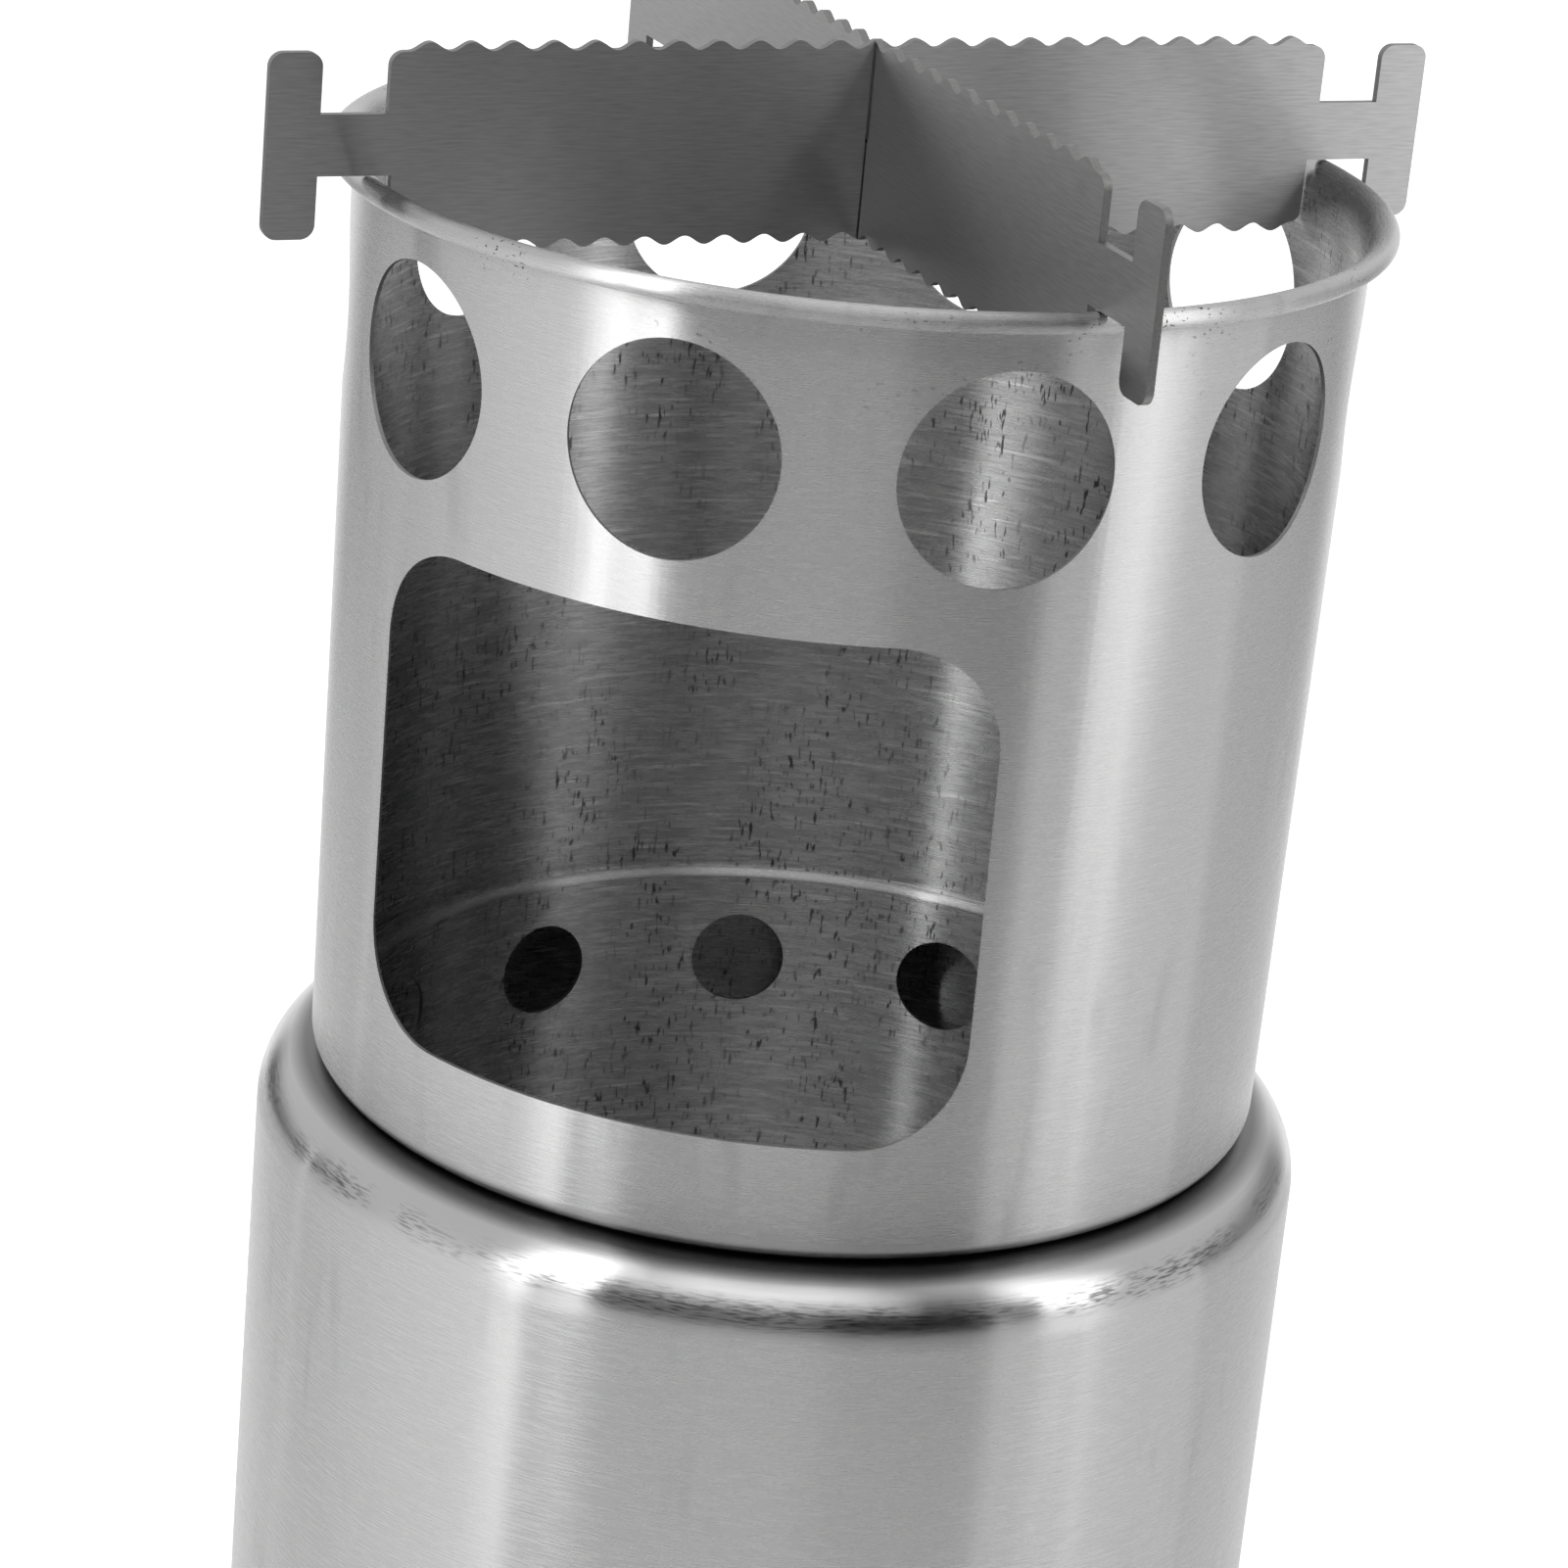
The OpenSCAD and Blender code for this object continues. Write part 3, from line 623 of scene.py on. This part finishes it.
def punch(piece, count, diameter, height, wall_r, turn=0):
    shape_by(piece, HOLES, {"Count": count, "Diameter": diameter * MM, "Height": height * MM,
                            "Wall Radius": wall_r * MM, "Turn": radians(turn), "Length": CUTTER * MM,
                            "Edge Finish": CUT})


def base_shell():
    piece = spun_piece("base_pressing", base_path(), BASE_H - MOUTH_BEND_R)
    punch(piece, INTAKES, INTAKE_D, INTAKE_Z, BASE_R, INTAKE_TURN)
    return finish_piece(piece, "base_shell", "base")


def base_floor():
    piece = spun_piece("floor_pressing", floor_path(), BASE_H)
    return finish_piece(piece, "base_floor", "base")


def ash_pan():
    piece = spun_piece("pan_pressing", pan_path(), BASE_H)
    return finish_piece(piece, "ash_pan", "pan")


def fire_bowl():
    piece = spun_piece("bowl_pressing", bowl_path(), LIP_TOP_Z - LIP_W)
    punch(piece, BOWL_HOLES, BOWL_HOLE_D, LIP_TOP_Z - BOWL_HOLE_DROP, BOWL_R, BOWL_TURN)
    return finish_piece(piece, "fire_bowl", "bowl")


def fire_grate():
    piece = new_piece("grate_blank", [(0, 0, 0)])
    shape_by(piece, GRATE, {"Radius": (BOWL_R - BOWL_BEND_R - SEAT_GAP) * MM, "Thickness": GRATE_T * MM,
                            "Height": (BOWL_Z + SHEET + SEAT_GAP) * MM, "Hole Diameter": GRATE_HOLE_D * MM,
                            "Pitch": GRATE_PITCH * MM, "Length": CUTTER * MM, "Finish": INNER,
                            "Edge Finish": CUT})
    return finish_piece(piece, "fire_grate", "grate")


def fire_chamber():
    piece = spun_piece("chamber_pressing", chamber_path(), RIM_Z - FLARE)
    punch(piece, EXHAUSTS, EXHAUST_D, RIM_Z - EXHAUST_DROP, TOP_R)
    # The door's cutter ends one and a half of its lengths from the axis, outside the wall
    shape_by(piece, DOOR, {"Width": DOOR_W * MM, "Height": DOOR_H * MM,
                           "Corner Radius": DOOR_CORNER_R * MM, "Sill": (FOOT_Z + SILL_H) * MM,
                           "Wall Radius": (TOP_R + FOOT_R) / 2 * MM,
                           "Length": (TOP_R + CUTTER) / 1.5 * MM, "Edge Finish": CUT})
    return finish_piece(piece, "fire_chamber", "chamber")


def plate_outline():
    """The plate's outline, from one half and its mirror image. The edges to be waved are straight
    rows of points, marked -1 above and 1 below."""
    body_half = TOP_R - BODY_INSET
    low_half = TOP_R - SHEET - TAPER / CHAMBER_H * KEEL_Z - BODY_GAP
    waves = floor((low_half - WAVE_MARGIN) / WAVE_PITCH - 0.5)
    reach = (waves + 0.5) * WAVE_PITCH
    steps = WAVE_STEPS * waves + WAVE_STEPS // 2
    rows = [reach * i / steps for i in range(steps)]
    top_r, low_r = min(CORNER_R, body_half - reach), min(CORNER_R, low_half - reach)
    neck = ROLL_R + SEAT_GAP
    tab_in = TOP_R + TAB_GAP
    tab_out = tab_in + TAB_W
    top, low = CREST_Z - WAVE_H, WAVE_H - KEEL_Z
    end = [*arc(body_half - top_r, top - top_r, top_r, 90, 0),
           (body_half, neck + NECK_H), (tab_in, neck + NECK_H),
           *arc(tab_in + CORNER_R, top - CORNER_R, CORNER_R, 180, 90),
           *arc(tab_out - CORNER_R, top - CORNER_R, CORNER_R, 90, 0),
           *arc(tab_out - CORNER_R, CORNER_R - TAB_DROP, CORNER_R, 0, -90),
           *arc(tab_in + CORNER_R, CORNER_R - TAB_DROP, CORNER_R, 270, 180),
           (tab_in, neck), (low_half, neck),
           *arc(low_half - low_r, low + low_r, low_r, 0, -90)]
    half = [(x, CREST_Z, -1) for x in rows] + [(reach, CREST_Z, -1)]
    half += [(x, z, 0) for x, z in end] + [(reach, -KEEL_Z, 1)] + [(x, -KEEL_Z, 1) for x in rows[::-1]]
    return half + [(-x, z, mark) for x, z, mark in half[::-1] if x > 0]


def pot_support(name, node, body, turn, slot_low, slot_high):
    outline = plate_outline()
    piece = new_piece(name, [(x * MM, 0, z * MM) for x, z, _ in outline], faces=[range(len(outline))])
    piece.data.materials.append(PLATE)
    waved = piece.data.attributes.new("waved", "FLOAT", "POINT")
    waved.data.foreach_set("value", [mark for *_, mark in outline])
    shape_by(piece, WAVED, {"Wave Pitch": WAVE_PITCH * MM, "Wave Height": WAVE_H * MM,
                            "Thickness": PLATE_T * MM, "Slot Width": (PLATE_T + 2 * SLOT_GAP) * MM,
                            "Slot Low": slot_low * MM, "Slot High": slot_high * MM,
                            "Turn": radians(turn), "Height": RIM_Z * MM, "Edge Finish": CUT})
    finish_piece(piece, node, body)
    along = Vector((cos(radians(turn)), sin(radians(turn)), 0))
    uv = piece.data.uv_layers.new(name="along_plate")
    for loop in piece.data.loops:
        corner = piece.data.vertices[loop.vertex_index].co
        uv.data[loop.index].uv = (corner.dot(along), corner.z)
    return piece


def pot_supports():
    cross_z = (CREST_Z - KEEL_Z) / 2
    pot_support("lower_plate", "lower_pot_support", "lower_support", CROSS_ANGLE + SUPPORT_TURN,
                cross_z - SLOT_GAP, CREST_Z + CUTTER)
    pot_support("upper_plate", "upper_pot_support", "upper_support", SUPPORT_TURN - CROSS_ANGLE,
                -KEEL_Z - CUTTER, cross_z + SLOT_GAP)


for make in (base_shell, base_floor, ash_pan, fire_bowl, fire_grate, fire_chamber, pot_supports):
    make()

# Studio: the camera as in the photograph, a white floor, soft lamps and cards

# Azimuth in degrees from the front, distance and height above the rim in millimetres, turns in radians
CAMERA_AZIMUTH, CAMERA_DISTANCE, CAMERA_RISE = 17.75, 570.1, 136.9
CAMERA_YAW, CAMERA_PITCH, CAMERA_ROLL = -0.005, 0.359, 0.093
# The photograph's side and the focal length in pixels, and the sensor's width in millimetres
PHOTO_SIDE, FOCAL_PIXELS, SENSOR = 1601, 5036.8, 36
WORLD_LIGHT, FLOOR_GLOW = 0.75, 0.45
# Side of the floor in metres
FLOOR_SIDE = 12
WHITE = (1, 1, 1, 1)
# Distances of the panels from the axis in millimetres
NEAR, FAR = 450, 1000
# How much of a panel's half fades at a plain edge. It is never 0, because equal limits make no range.
SHARP = 0.02

# Each lamp and card as name, azimuths in degrees, heights in millimetres, levels, fades and distance.
# The lamps lean outwards as they rise, so that a wall reflects their inner edges as upright lines.
LAMPS = [
    ("left_lamp", (-60, -36.5), (200, 520), (1.7, 9.0), (0.3, SHARP), NEAR),
    ("left_lamp_middle", (-66, -41), (520, 800), (1.7, 8.0), (0.3, SHARP), NEAR),
    ("left_lamp_top", (-90, -50), (800, 1500), (1.5, 5.0), (0.3, SHARP), NEAR),
    ("left_low", (-108, -42), (0, 199), (0.3, 2.1), (SHARP, SHARP), NEAR),
    ("right_lamp", (60, 84), (250, 600), (4.5, 2.5), (0.1, 0.3), FAR),
    ("right_lamp_top", (68, 92), (600, 1600), (5.0, 2.5), (0.1, 0.3), FAR),
    ("right_low", (68, 97), (0, 249), (1.0, 0.9), (0.1, SHARP), NEAR),
]
# The cards show only in the steel: high ones in front, which the shoulder reflects, the dark room
# round the camera, the gaps beside the lamps and the sides
CARDS = [
    ("front_left", (-41, 3), (1350, 6000), (2.4, 2.4), (SHARP, SHARP), FAR),
    ("front_right", (1, 48), (1350, 6000), (2.4, 2.2), (SHARP, 0.1), FAR),
    ("wall_left", (-44, 3), (100, 1230), (0.27, 0.27), (SHARP, SHARP), 900),
    ("wall_right", (1, 46), (100, 1230), (0.27, 0.25), (SHARP, SHARP), 900),
    ("room_left", (-45.2, -6), (0, 235), (0.2, 0.2), (SHARP, SHARP), 320),
    ("room_right", (-8, 44), (0, 235), (0.2, 0.2), (SHARP, SHARP), 320),
    ("camera_side", (9, 47), (0, 345), (0.02, 0.02), (0.25, 0.1), 300),
    ("right_gap_low", (44, 68), (0, 200), (0.9, 0.05), (0.05, 0.1), NEAR),
    ("right_gap", (44, 60), (200, 1500), (0.6, 0.1), (0.05, 0.1), NEAR),
    ("left_card", (-150, -109), (0, 120), (0.15, 0.15), (0.3, SHARP), NEAR),
    ("right_card", (98, 150), (0, 200), (0.4, 0.4), (SHARP, 0.3), NEAR),
]


def around(azimuth, distance, height):
    """Point at an azimuth from the camera's own, seen from above, in degrees to the right."""
    a = radians(CAMERA_AZIMUTH + azimuth)
    return Vector((distance * sin(a), -distance * cos(a), height))


def set_camera():
    data = bpy.data.cameras.new("camera")
    data.sensor_width = SENSOR
    data.lens = FOCAL_PIXELS / PHOTO_SIDE * SENSOR
    camera = bpy.data.objects.new("camera", data)
    ahead = Vector((sin(CAMERA_YAW) * cos(CAMERA_PITCH), cos(CAMERA_YAW) * cos(CAMERA_PITCH),
                    -sin(CAMERA_PITCH)))
    right = Vector((cos(CAMERA_YAW), -sin(CAMERA_YAW), 0))
    above = right.cross(ahead)
    tilted_right = right * cos(CAMERA_ROLL) + above * sin(CAMERA_ROLL)
    tilted_up = above * cos(CAMERA_ROLL) - right * sin(CAMERA_ROLL)
    turn = Matrix((tilted_right, tilted_up, -ahead)).transposed()
    turn = Matrix.Rotation(radians(CAMERA_AZIMUTH), 3, "Z") @ turn
    spot = around(0, CAMERA_DISTANCE, RIM_Z + CAMERA_RISE) * MM
    camera.matrix_world = Matrix.LocRotScale(spot, turn, None)
    bpy.context.scene.collection.objects.link(camera)
    bpy.context.scene.camera = camera


def seen_as_white(tree):
    """1 where a ray from the camera, a reflection or a transmission meets the background."""
    rays = add(tree, "ShaderNodeLightPath").outputs
    seen = add(tree, MATH, [rays["Is Camera Ray"], rays["Is Glossy Ray"]], operation="MAXIMUM")
    return add(tree, MATH, [seen, rays["Is Transmission Ray"]], operation="MAXIMUM")


def set_world():
    world = bpy.data.worlds.new("studio")
    world.use_nodes = True
    tree = world.node_tree
    tree.nodes.clear()
    strength = add(tree, RANGE, [seen_as_white(tree), 0.0, 1.0, WORLD_LIGHT, 1.0])
    sky = add(tree, "ShaderNodeBackground", {"Color": WHITE, "Strength": strength})
    add(tree, "ShaderNodeOutputWorld", [sky])
    bpy.context.scene.world = world


def stage_panel(name, half, tall, place, material):
    """A flat rectangle of the studio, which isn't part of the stove."""
    panel = new_piece(name, [(-half, -tall, 0), (half, -tall, 0), (half, tall, 0), (-half, tall, 0)],
                      faces=[(0, 1, 2, 3)])
    panel.data.materials.append(material)
    panel.matrix_world = place
    return panel


def set_floor():
    material, tree = new_material("white_sweep")
    matt = add(tree, "ShaderNodeBsdfDiffuse", {"Color": srgb("#ececec")})
    strength = add(tree, MATH, [seen_as_white(tree), FLOOR_GLOW], operation="MULTIPLY")
    glow = add(tree, "ShaderNodeEmission", {"Color": WHITE, "Strength": strength})
    add(tree, "ShaderNodeOutputMaterial", [add(tree, "ShaderNodeAddShader", [matt, glow])])
    stage_panel("floor", FLOOR_SIDE / 2, FLOOR_SIDE / 2, Matrix(), material)


def add_panel(name, azimuths, heights, levels, fades, distance, lights=False):
    """A softbox or a card as the steel reflects it, level 1 being white. The camera never sees it.

    It stands upright, facing the stove's axis, from the first azimuth to the second. Its levels run
    and its sides fade in the same order."""
    material, tree = new_material("panel_" + name)
    half = distance * tan(radians(azimuths[1] - azimuths[0]) / 2) * MM
    # Its own X runs from the second azimuth to the first
    x = add(tree, SPLIT, [add(tree, "ShaderNodeTexCoord").outputs["Object"]]).outputs["X"]
    strength = add(tree, RANGE, [x, half, -half, *levels])
    covers = [add(tree, RANGE, [x, side * half, side * half * (1 - 2 * fade), 0.0, 1.0],
                  interpolation_type="SMOOTHSTEP") for side, fade in zip((1, -1), fades)]
    cover = add(tree, MATH, covers, operation="MULTIPLY")
    glow = add(tree, "ShaderNodeEmission", {"Color": WHITE, "Strength": strength})
    both = add(tree, "ShaderNodeMixShader", [cover, add(tree, "ShaderNodeBsdfTransparent"), glow])
    add(tree, "ShaderNodeOutputMaterial", [both])
    tall = (heights[1] - heights[0]) / 2 * MM
    spot = around(sum(azimuths) / 2, distance, sum(heights) / 2) * MM
    inwards = Vector((-spot.x, -spot.y, 0)).to_track_quat("Z", "Y").to_matrix().to_4x4()
    panel = stage_panel("panel_" + name, half, tall, Matrix.Translation(spot) @ inwards, material)
    panel.visible_camera = panel.visible_shadow = panel.visible_transmission = False
    panel.visible_diffuse = lights


bpy.context.scene.view_settings.view_transform = "Standard"
set_camera()
set_world()
set_floor()
for lamp in LAMPS:
    add_panel(*lamp, lights=True)
for card in CARDS:
    add_panel(*card)
